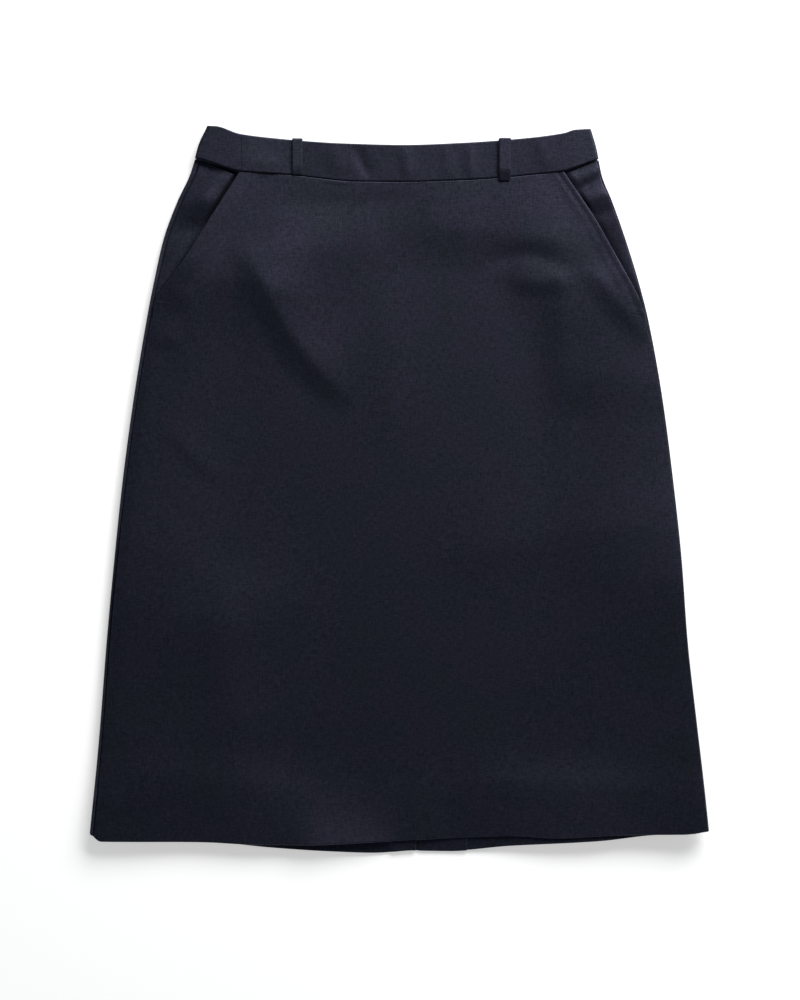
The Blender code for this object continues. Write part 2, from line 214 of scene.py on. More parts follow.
def worsted(name, roughness, specular):
    """Return plain-woven navy wool."""
    cloth = new_material(name, {"Roughness": roughness, "Specular IOR Level": specular,
                                "Sheen Weight": 0.04, "Sheen Roughness": 0.4})
    place = add_node(cloth, "ShaderNodeTexCoord").outputs["Object"]
    streaks = []
    for along in (1, 0):
        scale = [1.0 / STREAK_WIDTH] * 3
        scale[along] = 1.0 / STREAK_LENGTH
        grid = add_node(cloth, "ShaderNodeMapping", {"Vector": place, "Scale": scale})
        streak = add_node(cloth, "ShaderNodeTexNoise", {
            "Vector": grid.outputs["Vector"], "Scale": 1.0, "Detail": 2.0, "Roughness": 0.6})
        streaks.append(streak.outputs["Fac"])
    woven = add_node(cloth, "ShaderNodeMath", {0: streaks[0], 1: streaks[1]},
                     operation="ADD").outputs["Value"]
    tone = add_node(cloth, "ShaderNodeMapRange", {
        "Value": woven, "From Min": TONE_RANGE[0], "From Max": TONE_RANGE[1],
        "To Min": 0.0, "To Max": 1.0}).outputs["Result"]
    colour, thread = [add_node(cloth, "ShaderNodeMix", {
        0: tone, 6: linear(dark), 7: linear(light)}, data_type="RGBA").outputs[2]
        for dark, light in (CLOTH_TONES, MIRROR_TONES)]

    patches = add_node(cloth, "ShaderNodeTexNoise", {
        "Vector": place, "Scale": 1.0 / PATCH_SIZE, "Detail": 2.0, "Roughness": 0.5})
    tint = add_node(cloth, "ShaderNodeValToRGB", {"Fac": patches.outputs["Fac"]})
    tint.color_ramp.elements.new(PATCH_TINTS[1][0])
    for stop, (position, hex_colour) in zip(tint.color_ramp.elements, PATCH_TINTS):
        stop.position = position
        stop.color = linear(hex_colour)
    mirrored = add_node(cloth, "ShaderNodeMix", {0: 1.0, 6: thread, 7: tint.outputs["Color"]},
                        data_type="RGBA", blend_type="MULTIPLY")
    relief = add_node(cloth, "ShaderNodeBump", {
        "Height": woven, "Distance": WEAVE_RELIEF, "Strength": 1.0})
    set_surface(cloth, {"Base Color": colour, "Specular Tint": mirrored.outputs[2],
                        "Normal": relief.outputs["Normal"]})
    return cloth


suiting = worsted("worsted_suiting", roughness=0.45, specular=0.96)
band_suiting = worsted("worsted_suiting_stiffened", roughness=0.47, specular=0.86)
print("materials:", [material.name for material in bpy.data.materials])

# %% [markdown]
# ## The cut, as it lies
#
# A pattern cutter would draw these curves: the two side folds, both hems, the waist seam,
# the band's top edge and the slanted pocket mouths. Each is a short table in millimetres,
# and a curve through it that never overshoots its points.

# %% Curves of the cut


def curve_through(pairs):
    """Return a smooth function through (place, value) pairs, for numbers or arrays."""
    places, values = (np.array(side, float) for side in zip(*sorted(pairs)))
    steps = np.diff(values) / np.diff(places)
    product = steps[:-1] * steps[1:]
    total = np.where(product > 0.0, steps[:-1] + steps[1:], 1.0)
    inner = np.where(product > 0.0, 2.0 * product / total, 0.0)
    slopes = np.concatenate(([steps[0]], inner, [steps[-1]]))

    def value_at(place):
        place = np.clip(place, places[0], places[-1])
        i = np.clip(np.searchsorted(places, place) - 1, 0, len(places) - 2)
        width = places[i + 1] - places[i]
        t = (place - places[i]) / width
        level = values[i] * (1 + 2 * t) * (1 - t) ** 2 + values[i + 1] * t * t * (3 - 2 * t)
        return level + width * (slopes[i] * t * (1 - t) ** 2 - slopes[i + 1] * t * t * (1 - t))

    return value_at


def column_curve(rows, column):
    """Return a smooth function through a table's first and another column."""
    return curve_through([(row[0], row[column]) for row in rows])


# %% Sides, hems, waist and pocket mouths
# height y: left fold x, right fold x, back seen left of the left seam, and right of the right
SIDES = (
    (-326, -293.5, 293.5, 3.6, 8),
    (-272, -288.6, 288, 3.6, 8.5),
    (-219, -283.9, 281.9, 3.6, 5.5),
    (-143, -278, 273.5, 3.8, 3.4),
    (-67, -270.9, 267.9, 3.8, 3.8),
    (9, -262.9, 259.8, 3.8, 4.6),
    (85, -252.7, 249.9, 3.8, 3.6),
    (161, -240.3, 236.4, 4, 2.4),
    (199, -233, 226.9, 4.2, 2.4),
    (237, -224.5, 215.3, 4.6, 2.6),
    (275, -210.4, 201.8, 5, 2.8),
    (297, -199.8, 192.8, 5, 3),
    (314, -194.4, 189.3, 5, 3),
    (326, -191.4, 187, 5, 3),
    (345, -183.4, 181.6, 5, 3),
)
FRONT_HEM = (
    (-294, -325.4), (-283, -333.4), (-188, -334.2), (-128, -336.8), (-80, -336.5),
    (-22, -334.4), (43, -331.6), (113, -328.7), (145, -330.3), (211, -327.2),
    (270, -326.2), (286, -323.9), (294, -323.4),
)
BACK_HEM = (
    (-294, -325.4), (-283, -333.4), (-180, -334.4), (-123, -339.5), (-66, -343.7),
    (-22, -345.5), (14, -343.2), (48, -343.6), (105, -338.4), (190, -333.1),
    (247, -327.2), (276, -326.7), (294, -323.4),
)
WAIST_SEAM = (
    (-196, 314.7), (-189.5, 314.2), (-187, 313.5), (-155, 302.9), (-151.5, 302.2),
    (-104, 299.2), (-40, 293.1), (0, 292.8), (58, 294.4), (95, 296.6),
    (131, 300.1), (153.5, 302.2), (158, 303.3), (187, 313.3), (191, 314.6),
)
BAND_TOP = (
    (-185, 345.2), (-175, 344.9), (-151, 337.4), (-123, 334), (-52, 328.9),
    (5, 327.5), (62, 329.6), (119, 333.8), (157, 338.7), (166, 341.6), (183, 342.8),
)
SIDE_TOP = 314.0
MOUTH_TOP = 302.4
MOUTH = {
    -1: ((MOUTH_TOP, -152.2), (256, -180.6), (222.3, -201), (201.8, -215.5), (188, -225.8),
         (176, -233.4)),
    1: ((MOUTH_TOP, 156.4), (254.5, 187.7), (233.8, 199.1), (206.2, 214.1), (183.5, 226),
        (163, 233.8)),
}

side_fold = {-1: column_curve(SIDES, 1), 1: column_curve(SIDES, 2)}
side_strip = {-1: column_curve(SIDES, 3), 1: column_curve(SIDES, 4)}
front_hem = curve_through(FRONT_HEM)
back_hem = curve_through(BACK_HEM)
waist_seam = curve_through(WAIST_SEAM)
band_top = curve_through(BAND_TOP)
mouth = {side: curve_through(points) for side, points in MOUTH.items()}
mouth_end = {side: points[-1][0] for side, points in MOUTH.items()}
side_low = {side: float(back_hem(side_fold[side](SIDES[0][0]))) for side in (-1, 1)}
print("front length at the middle, mm:", round(float(waist_seam(0.0) - front_hem(0.0)), 1))

# %% [markdown]
# ## How high the cloth lies
#
# Cloth on a table is never quite flat. The hem's corners and the side folds stand off the
# surface, because folded cloth springs open. The front also has creases of its own:
# a long one slants down from the left pocket, where the pocket bag lies underneath, and
# soft waves cross the hips and run along the turned-up hem.
#
# Each crease is a soft ridge with its own place, direction, length, two side widths and
# height. A steep side next to a gentle one gives the dark edge of a real crease.

# %% Heights and creases, in millimetres
CLOTH = 1.0
HEM_CLOTH = 1.6
BAND_CLOTH = 1.8
LOOP_CLOTH = 1.2
SEAM_GAP = 0.3
INSIDE_GAP = 0.6
BAND_INSIDE_GAP = 1.2
HEM_DEPTH = 38.0
HEM_STEP = 7.0
# the front is pressed thin along the side seams: from and to this far in, and this high
PRESSED_CLOTH = 0.7
PRESSED_WIDTH = (1.0, 6.0)
PRESSED_END = (120.0, 150.0)
WAIST_RISE = 1.5
WAIST_RISE_REACH = (205.0, 285.0)

# height y: how far the left and the right side stand off, and how far in that reaches
SIDE_LIFT = (
    (-345, 10, 10.8, 230, 230),
    (-300, 9.2, 10.2, 210, 210),
    (-250, 6.6, 9, 180, 190),
    (-160, 5, 7.1, 150, 170),
    (-50, 5.2, 7.3, 120, 140),
    (20, 4.8, 6.7, 125, 130),
    (85, 4.6, 6.6, 120, 125),
    (180, 4, 4.4, 84, 110),
    (240, 1.8, 1.4, 64, 80),
    (300, 0.5, 0.3, 60, 70),
    (345, 0, 0, 60, 70),
)
# x, y, reach in x, reach in y, height
HEM_LIFT = (
    (-108, -350, 110, 110, 6),
    (150, -345, 110, 100, 5.5),
)
# path of the crest, width on its left and on its right, softness of the crest, height
CREASES = (
    # the long crease over the left pocket bag
    (((-152, 245), (-136, 206), (-110, 155), (-74, 108), (-30, 76)), 105, 23, 3.5, 4.2),
    (((-266, 206), (-204, 215), (-120, 224), (-60, 236), (24, 242)), 120, 96, 10, 2.4),
    (((-262, 190), (-206, 202), (-140, 200), (-66, 176)), 140, 128, 9, 5.4),
    # swell across the hips
    (((-20, 252), (60, 246), (115, 242), (167, 230), (205, 212)), 62, 44, 8, 1.5),
    (((-150, 224), (-80, 229), (-19, 217), (12, 196)), 44, 75, 12, 0.8),
    (((-140, 274), (-60, 271), (44, 276)), 20, 26, 5, -0.6),
    # small puckers below the right hip
    (((76, 210), (106, 225), (138, 223), (164, 208)), 13, 12, 4, -1),
    (((84, 203), (114, 203), (148, 199)), 12, 26, 5, 0.35),
    (((100, 200), (133, 195), (170, 200)), 30, 16, 3, 1.6),
    # the right hip's upright fold and its two swells
    (((156, 62), (158, 140), (152, 215)), 34, 160, 6, 2.3),
    (((84, 224), (170, 236), (290, 236)), 110, 110, 10, 1.5),
    (((90, 192), (170, 208), (290, 206)), 110, 90, 10, 2.6),
    # beside the pocket mouths
    (((174, 218), (210, 175), (242, 138)), 64, 17, 4, 1.9),
    (((-240, 144), (-222, 145), (-204, 144)), 26, 15, 4, 1.1),
    (((-228, 184), (-209, 182), (-192, 186)), 18, 13, 4, 0.8),
    # long soft waves down and across the skirt
    (((-14, 20), (-10, 120), (-16, 225)), 42, 46, 10, 0.9),
    (((-226, 68), (-199, 33), (-156, 2)), 30, 11, 3, 0.6),
    (((-300, -42), (-190, -66), (-142, -98), (-30, -105)), 100, 60, 10, 1.3),
    (((10, -66), (84, -58), (150, -40), (270, -30)), 110, 70, 8, 1.8),
    # the turned-up hem
    (((20, -275), (150, -277), (270, -284)), 56, 46, 7, 1.4),
    (((-300, -268), (-170, -272), (-70, -284)), 85, 58, 7, 3.1),
    (((-40, -340), (8, -341), (56, -340)), 130, 10, 8, 1.9),
    (((-118, -347), (-54, -351), (6, -347)), 54, 30, 12, 6.2),
    # fullness at both sides, above the hem's corners
    (((-350, -92), (-212, -112), (-90, -150)), 160, 190, 12, 2.8),
    (((140, -70), (240, -90), (350, -100)), 150, 200, 12, 2.8),
    (((-152, -290), (-160, -180), (-168, -60)), 100, 110, 12, 4),
    (((298, -470), (285, -280), (268, -80), (256, 80)), 84, 40, 8, 5.6),
)

# %% Soft steps, lifts and creases
CORNER_CUT = 0.25
CORNER_CUTS = 3
CREASE_TAPER = 0.35


def ease(low, high, value):
    """Return 0 below low and 1 above high, with a soft rise between them."""
    t = np.clip((value - low) / (high - low), 0.0, 1.0)
    return t * t * (3.0 - 2.0 * t)


def hump(distance):
    """Return 1 at distance 0, falling softly to 0 at distance 1."""
    return np.clip(1.0 - distance * distance, 0.0, 1.0) ** 2


def mix(start, end, share):
    """Return the value that lies this share of the way from start to end."""
    return start + (end - start) * share


side_lift = {-1: column_curve(SIDE_LIFT, 1), 1: column_curve(SIDE_LIFT, 2)}
side_reach = {-1: column_curve(SIDE_LIFT, 3), 1: column_curve(SIDE_LIFT, 4)}


def lift(x, y):
    """Return how far both layers stand off the table."""
    height = WAIST_RISE * ease(*WAIST_RISE_REACH, y)
    for side in (-1, 1):
        from_fold = (x - side_fold[side](y)) / side_reach[side](y)
        height = height + side_lift[side](y) * hump(from_fold)
    for x0, y0, reach_x, reach_y, top in HEM_LIFT:
        height = height + top * hump((x - x0) / reach_x) * hump((y - y0) / reach_y)
    return height


def rounded(path):
    """Return the path with its corners cut a few times, which leaves a smooth line."""
    line = np.array(path, float)
    for _ in range(CORNER_CUTS):
        near, far = line[:-1], line[1:]
        keep = 1.0 - CORNER_CUT
        cut = np.stack((keep * near + CORNER_CUT * far, CORNER_CUT * near + keep * far), axis=1)
        line = np.concatenate((line[:1], cut.reshape(-1, 2), line[-1:]))
    return line


def creased(x, y, creases):
    """Return the summed height of creases; a negative height makes a trough."""
    x, y = np.broadcast_arrays(x, y)
    total = np.zeros(x.shape)
    for path, left_width, right_width, softness, top in creases:
        line = rounded(path)
        steps = np.diff(line, axis=0)
        lengths = np.linalg.norm(steps, axis=1)
        starts = np.concatenate(([0.0], np.cumsum(lengths)))
        nearest = np.full(x.shape, np.inf)
        side = np.zeros(x.shape)
        share = np.zeros(x.shape)
        for (x0, y0), (dx, dy), length, start in zip(line, steps, lengths, starts):
            run = np.clip(((x - x0) * dx + (y - y0) * dy) / length ** 2, 0.0, 1.0)
            away_x, away_y = x - x0 - run * dx, y - y0 - run * dy
            distance = np.hypot(away_x, away_y)
            closer = distance < nearest
            nearest = np.where(closer, distance, nearest)
            side = np.where(closer, dx * away_y - dy * away_x, side)
            share = np.where(closer, (start + run * length) / starts[-1], share)
        width = np.where(side > 0.0, left_width, right_width)
        beyond = np.hypot(nearest, softness) - softness
        slope = np.clip(1.0 - beyond / width, 0.0, 1.0) ** 2
        taper = ease(0.0, CREASE_TAPER, share) * (1.0 - ease(1.0 - CREASE_TAPER, 1.0, share))
        total = total + top * slope * taper
    return total


def cloth_at(above_hem):
    """Return the wall's thickness: the turned-up hem is thicker."""
    return mix(HEM_CLOTH, CLOTH, ease(HEM_DEPTH, HEM_DEPTH + HEM_STEP, above_hem))


def strip_top(above_hem):
    """Return the height of the back's upper side where it comes round the side fold."""
    return 2.0 * cloth_at(above_hem) + INSIDE_GAP


# %% Side seams and pocket mouths
# how far the front lies over the back's strip, up the side and at the hem, and the heights
# above the hem between which one becomes the other
SIDE_LAP = {-1: 0.0, 1: 3.0}
HEM_LAP = {-1: 0.0, 1: 12.0}
LAP_START = (90.0, 150.0)
STRIP_LEFT_OVER = 1.5
MOUTH_RUN_OUT = 30.0


def past_lap_start(side, y):
    """Return 0 near the hem and 1 further up."""
    return ease(*LAP_START, y - side_low[side])


def side_lap(side, y):
    """Return how far the front and the facing lie over the back's strip at height y."""
    lap = mix(HEM_LAP[side], SIDE_LAP[side], past_lap_start(side, y))
    return np.minimum(lap, side_strip[side](y) - STRIP_LEFT_OVER)


def front_edge(side, y):
    """Return x of the front's free edge: side seam below, pocket mouth above."""
    seam = side_fold[side](y) - side * (side_strip[side](y) - side_lap(side, y))
    corner = mouth[side](mouth_end[side])
    below = mix(seam, corner, ease(mouth_end[side] - MOUTH_RUN_OUT, mouth_end[side], y))
    return np.where(y >= mouth_end[side], mouth[side](y), below)


# y: how far the mouth's lip stands up
LIP_RISE = {
    -1: ((176, 0), (196, 1.4), (222, 3.6), (252, 4.2), (278, 3.8), (304, 3)),
    1: ((163, 0), (186, 0.7), (215, 1), (270, 0.6), (304, 0.4)),
}
LIP_WIDTH = {-1: 28.0, 1: 16.0}
LIP_SLANT = 0.85
WAIST_INSET = 0.25
TOPSTITCH_INSET = 5.5
TOPSTITCH_DIP = 0.4
TOPSTITCH_REACH = 2.0
TOPSTITCH_FADE = 4.0
SEAM_DIP = {-1: 0.9, 1: 0.1}
SEAM_DIP_WIDTH = {-1: 8.0, 1: 5.0}
# how far below the mouth the dip begins to fade, and where it ends
SEAM_DIP_FADE = (60.0, 24.0)
HEM_RISE = 0.5
HEM_RISE_WIDTH = 30.0
lip_rise = {side: curve_through(rows) for side, rows in LIP_RISE.items()}


def edge_profile(side, x, y):
    """Return the rise of a pocket mouth's lip and the dip of the side seam."""
    inside = side * (front_edge(side, y) - x) * LIP_SLANT
    end = mouth_end[side]
    lip = lip_rise[side](y) * (1.0 - ease(0.0, LIP_WIDTH[side], inside))
    on_pocket = ease(end - TOPSTITCH_FADE, end + TOPSTITCH_FADE, y)
    groove = TOPSTITCH_DIP * on_pocket * hump((inside - TOPSTITCH_INSET) / TOPSTITCH_REACH)
    at_seam = 1.0 - ease(end - SEAM_DIP_FADE[0], end - SEAM_DIP_FADE[1], y)
    dip = SEAM_DIP[side] * at_seam * (1.0 - ease(0.0, SEAM_DIP_WIDTH[side], inside))
    return lip - groove - dip


def front_wall(x, y):
    """Return the front's thickness: it is pressed thin along the side seams."""
    from_seam = np.minimum(x - front_edge(-1, y), front_edge(1, y) - x)
    pressed = (1.0 - ease(*PRESSED_WIDTH, from_seam)) * (1.0 - ease(*PRESSED_END, y))
    return mix(cloth_at(y - front_hem(x)), PRESSED_CLOTH, pressed)


def front_level(x, y):
    """Return the height of the front's outer face."""
    above_hem = y - front_hem(x)
    level = lift(x, y) + 2.0 * CLOTH + INSIDE_GAP + SEAM_GAP + CLOTH
    level = level + HEM_RISE * (1.0 - ease(HEM_DEPTH, HEM_DEPTH + HEM_RISE_WIDTH, above_hem))
    level = level + creased(x, y, CREASES)
    return level + edge_profile(-1, x, y) + edge_profile(1, x, y)


# %% [markdown]
# ## From a grid to a cloth shell
#
# Each piece starts as a grid of points on its outer face. The shell adds an inner face one
# cloth thickness away and a half-round rim between the two, because a folded cloth edge is
# round, and its highlight and shadow are what draw the edge. A Solidify modifier would
# leave a square rim.

# %% Shell maker
RIM_STEPS = 4
# places of the first points in from an edge; a piece's COLUMNS or ROWS are a typical length
# and the step between points further in
EDGE_STEPS = (0.0, 0.4, 1.0, 2.0, 3.5, 5.5, 8.0)
SIDE_NAMES = {-1: "left", 1: "right"}
outer_faces = {}


def add_piece(name, points, faces, material):
    """Make a smooth mesh piece, from points in metres, that rides on the skirt's one body."""
    mesh = bpy.data.meshes.new(name)
    mesh.from_pydata(points, [], faces)
    mesh.shade_smooth()
    mesh.materials.append(material)
    piece = add_object(name, mesh)
    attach(piece, "root")
    return piece


def unit(vectors):
    """Return the vectors, each made one long."""
    return vectors / np.maximum(np.linalg.norm(vectors, axis=-1, keepdims=True), 1e-9)


def cloth_shell(name, outer, thickness, material, slot_name, node):
    """Make a closed shell that stands for a node, from outer points (rows, columns, mm)."""
    rows, columns = outer.shape[:2]
    along = unit(np.gradient(outer, axis=1))
    up = unit(np.gradient(outer, axis=0))
    normal = unit(np.cross(along, up))
    wall = np.broadcast_to(np.asarray(thickness, float), (rows, columns))[..., None]
    inner = outer - normal * wall

    index = np.arange(rows * columns).reshape(rows, columns)
    loop = np.concatenate((index[0, :-1], index[:-1, -1], index[-1, :0:-1], index[:0:-1, 0]))
    away = np.zeros_like(outer)
    away[0] -= up[0]
    away[-1] += up[-1]
    away[:, 0] -= along[:, 0]
    away[:, -1] += along[:, -1]
    away = unit(away)

    radius = wall.reshape(-1, 1)[loop] / 2.0
    edge, upward, outward = (face.reshape(-1, 3)[loop] for face in (outer, normal, away))
    middle = edge - upward * radius
    rings = []
    for step in range(1, RIM_STEPS):
        angle = math.pi * step / RIM_STEPS
        rings.append(middle + radius * (upward * math.cos(angle) + outward * math.sin(angle)))
    points = np.concatenate([outer.reshape(-1, 3), inner.reshape(-1, 3), *rings])

    quads = np.stack((index[:-1, :-1], index[:-1, 1:], index[1:, 1:], index[1:, :-1]), axis=-1)
    quads = quads.reshape(-1, 4)
    count = rows * columns
    faces = [quads, quads[:, ::-1] + count]
    starts = 2 * count + len(loop) * np.arange(RIM_STEPS - 1)
    ring_index = [loop, *(start + np.arange(len(loop)) for start in starts), loop + count]
    for high, low in zip(ring_index, ring_index[1:]):
        faces.append(np.stack((high, low, np.roll(low, -1), np.roll(high, -1)), axis=-1))
    faces = np.concatenate(faces)
    piece = add_piece(name, (points * MM).tolist(), faces.tolist(), material)
    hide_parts(node)
    outer_faces[name] = outer
    print(f"{name}: {len(points)} points, {2 * len(faces)} triangles")
    return piece


def spaced(total, edge_steps, step):
    """Return distances from 0 to total, close together near both ends."""
    edge = np.array(edge_steps)
    inner = np.linspace(edge[-1], total - edge[-1], max(2, round((total - 2 * edge[-1]) / step)))
    return np.concatenate((edge[:-1], inner, total - edge[-2::-1]))


def shares(total, step):
    """Return 0 to 1 in uneven steps, close together near both ends."""
    distances = spaced(total, EDGE_STEPS, step)
    return distances / distances[-1]


# %% [markdown]
# ## Front
#
# The front is cut in one piece. Its rows of points follow the hem below and the waist seam
# above, and its columns run from edge to edge, so the pocket mouths and side seams are true
# edges of the mesh.

# %% Front panel
HEM_BOW = 150.0
WAIST_BOW = 110.0
FRONT_ROW_STEP = 3.6
FRONT_COLUMNS = (480.0, 3.6)


def bowed(y_side, low, top, hem_offset, waist_offset):
    """Return y of points in rows that follow the hem below and the waist above."""
    near_hem = 1.0 - ease(low, low + HEM_BOW, y_side)
    near_waist = ease(top - WAIST_BOW, top, y_side)
    return y_side + hem_offset * near_hem + waist_offset * near_waist


def front_grid():
    """Return x and y of the front's points, half a wall inside its cut edges."""
    edge = CLOTH / 2.0
    share = shares(MOUTH_TOP - side_low[-1], FRONT_ROW_STEP)[:, None]
    across = shares(*FRONT_COLUMNS)
    y_left = mix(side_low[-1], MOUTH_TOP, share)
    y_right = mix(side_low[1], MOUTH_TOP, share)
    x = mix(front_edge(-1, y_left) + edge, front_edge(1, y_right) - edge, across)
    low = mix(side_low[-1], side_low[1], across)
    y = bowed(mix(y_left, y_right, across), low, MOUTH_TOP, front_hem(x) + edge - low,
              waist_seam(x[-1:]) - SEAM_GAP - WAIST_INSET - edge - MOUTH_TOP)
    return x, y


front_x, front_y = front_grid()
front_points = np.stack((front_x, front_y, front_level(front_x, front_y)), axis=-1)
front = cloth_shell("front_cloth", front_points, front_wall(front_x, front_y), suiting,
                    "suiting", "front_panel")

# %% [markdown]
# ## Backs
#
# Each back runs from the centre seam out under the skirt, round the side fold and a few
# millimetres on to the top, where it meets the front at the side seam. In the vent, the
# left back's underlap climbs over the right back, whose own edge is turned in and ends
# further out: both show below the front's hem.

# %% Back panels
CENTRE_BACK = -4.0
VENT_TOP = -155.0
# width of the underlap at the hem and at the vent's top
VENT_LAP = (19.5, 30.0)
VENT_CLIMB = 6.0
VENT_CLIMB_END = 1.0
VENT_CLEAR = 4.0
VENT_CORNER = 8.0
TURNED_EDGE = 64.0
TURNED_STEP = 0.9
TURNED_START = (1.0, 4.0)
TURNED_END = 0.5
# rows above the side's top, which go up into the band, and how they get there
TUCK_ROWS = (0.8, 1.6, 3.0, 5.0, 8.0)
TUCK_BEND = (1.0, 0.2)
TUCK_IN = 2.0
TUCK_RISE = 1.9
SEAM_CLOSES = (8.0, 3.0)
STRIP_CROWN = {-1: 0.5, 1: 0.0}
STRIP_SINK = {-1: 1.0, 1: 0.5}
HEM_STRIP_SINK = 1.0
FOLD_DEPTH = {-1: 0.5, 1: 0.9}
ARC_STEPS = 14
STRIP_STEPS = 5
BACK_ROW_STEP = 6.0
NEAR_COLUMNS = (60.0, 4.0)
FAR_COLUMNS = (280.0, 6.0)
# turn about the side fold, in radians, below which a point is on the underside
UNDERSIDE = 0.1


def back_grid(side):
    """Return the points and walls of a back, from the centre seam to the side seam."""
    rim = CLOTH / 2.0
    low = side_low[side]
    y_side = low + spaced(SIDE_TOP - low, EDGE_STEPS, BACK_ROW_STEP)
    y_side = np.concatenate((y_side, SIDE_TOP + np.array(TUCK_ROWS)))[:, None]
    tucked = ease(SIDE_TOP - TUCK_BEND[0], SIDE_TOP - TUCK_BEND[1], y_side)
    above_hem = y_side - low
    radius = strip_top(above_hem) / 2.0 + STRIP_CROWN[side]
    outer = side_fold[side](y_side) - side * TUCK_IN * tucked
    depth = FOLD_DEPTH[side] * radius
    centre = outer - side * depth
    closed = ease(SIDE_TOP - SEAM_CLOSES[0], SIDE_TOP - SEAM_CLOSES[1], y_side)
    start = CENTRE_BACK + side * (rim + SEAM_GAP / 2.0 * (1.0 - closed))
    knee = CENTRE_BACK - VENT_CLIMB if side < 0 else TURNED_EDGE
    vent_lap = mix(*VENT_LAP, above_hem / (VENT_TOP - low))
    in_vent = 1.0 - ease(VENT_TOP - VENT_CORNER, VENT_TOP, y_side)
    if side < 0:
        start = start + vent_lap * in_vent

    near = mix(start, knee, shares(*NEAR_COLUMNS))
    far = mix(knee, centre, shares(*FAR_COLUMNS)[1:])
    angle = np.linspace(0.0, math.pi, ARC_STEPS + 1)[1:]
    arc = centre + side * depth * np.sin(angle)
    strip = side_strip[side](y_side) - SEAM_GAP - rim
    end = np.minimum(side * centre, side * outer - strip) * side
    inward = np.linspace(0.0, 1.0, STRIP_STEPS + 1)[1:]
    x = np.concatenate((near, far, arc, mix(centre, end, inward)), axis=1)
    flat_turn = np.zeros(near.shape[1] + far.shape[1])
    turn = np.concatenate((flat_turn, angle, np.full(STRIP_STEPS, math.pi)))

    height = radius * (1.0 - np.cos(turn))
    height[:, -STRIP_STEPS:] -= inward * mix(HEM_STRIP_SINK, STRIP_SINK[side],
                                             past_lap_start(side, y_side))
    height = height + TUCK_RISE * (tucked * (1.0 - ease(0.0, math.pi / 2.0, turn)))
    if side < 0:
        climb = cloth_at(above_hem) + SEAM_GAP
        vent_end = VENT_TOP + VENT_CLEAR
        climb = climb * (1.0 - ease(vent_end, vent_end + VENT_CLIMB, y_side))
        height = height + climb * ease(CENTRE_BACK - VENT_CLIMB, CENTRE_BACK - VENT_CLIMB_END, x)
    y = bowed(y_side, low, SIDE_TOP, back_hem(x) + rim - low, waist_seam(x) - SIDE_TOP)

    wall = np.repeat(cloth_at(above_hem), x.shape[1], axis=1)
    wall[:, -STRIP_STEPS:] = mix(wall[:, -STRIP_STEPS:], PRESSED_CLOTH, inward)
    if side > 0:
        lap_end = vent_lap + CENTRE_BACK
        turned = ease(lap_end + TURNED_START[0], lap_end + TURNED_START[1], x)
        turned = turned * (1.0 - ease(TURNED_EDGE - TURNED_END, TURNED_EDGE + TURNED_END, x))
        wall = wall + TURNED_STEP * (turned * in_vent) * (turn < UNDERSIDE)
    points = np.stack((x, y, lift(x, y) + height), axis=-1)
    return (points[:, ::-1], wall[:, ::-1]) if side > 0 else (points, wall)


backs = {side: cloth_shell(f"back_cloth_{place}", *back_grid(side), suiting, "suiting",
                           f"back_panel_{place}")
         for side, place in SIDE_NAMES.items()}

# %% [markdown]
# ## Pocket facings
#
# A slanted pocket shows a piece of the same cloth behind its mouth, the facing. It lies a
# little lower than the front and sinks under the waistband, so the band and the mouth's lip
# throw a shadow on it. Both have short slanting creases below the band.

# %% Facings
FACING_UNDER = 34.0
FACING_BELOW = 24.0
FACING_ROW_STEP = 2.5
FACING_COLUMNS = (60.0, 1.5)
BAND_SHADOW = 1.0
# how far the facing's top edge lies below the band, at the side fold and at the mouth
WEDGE = {-1: (0.6, 3.6), 1: (0.3, 1.7)}
FACING_SINK = 0.5
SINK_BESIDE_MOUTH = 8.0
SINK_BELOW_BAND = (3.0, 14.0)
CREASE_FADE = {-1: 12.0, 1: 4.0}
# y: height and width of the facing's roll, which dives under the mouth's lip
FACING_ROLL = {
    -1: ((170, 0.6, 3), (196, 0.9, 3.5), (215, 0.8, 4), (232, 0.2, 4),
         (246, -0.3, 6), (276, 3.9, 7), (304, 3.2, 6)),
    1: ((160, 0.3, 3), (230, 0.5, 3), (262, 0.9, 3), (304, 0.9, 3)),
}
ROLL_SLANT = 0.84
# where the roll rises and where it falls, in its own widths out from the mouth
ROLL_START = {-1: (0.0, 0.6), 1: (0.0, 1.0)}
ROLL_FALL = {-1: (1.6, 4.6), 1: (9.0, 15.0)}
FACING_EDGE_RISE = {-1: 0.0, 1: 1.1}
FACING_EDGE_REACH = 20.0
FACING_CREASES = {
    -1: ((((-240, 226), (-205, 231), (-180, 240)), 30, 34, 6, 0.9),
         (((-226, 268), (-200, 273), (-166, 277)), 60, 26, 4, 1.5)),
    1: ((((126, 266), (166, 291), (190, 304), (202, 312)), 18, 9, 2, 1.1),
        (((130, 260), (168, 285), (190, 297), (206, 306)), 8, 9, 2, -1),
        (((140, 259), (186, 277), (214, 287)), 16, 15, 2.5, 1.7),
        (((140, 244), (186, 262), (214, 269)), 8, 12, 2.5, -0.9)),
}


def facing_roll(side, from_mouth, y):
    """Return the rise of the facing beside the mouth; from_mouth is measured outwards."""
    rise = column_curve(FACING_ROLL[side], 1)(y)
    place = from_mouth / column_curve(FACING_ROLL[side], 2)(y)
    return rise * ease(*ROLL_START[side], place) * (1.0 - ease(*ROLL_FALL[side], place))


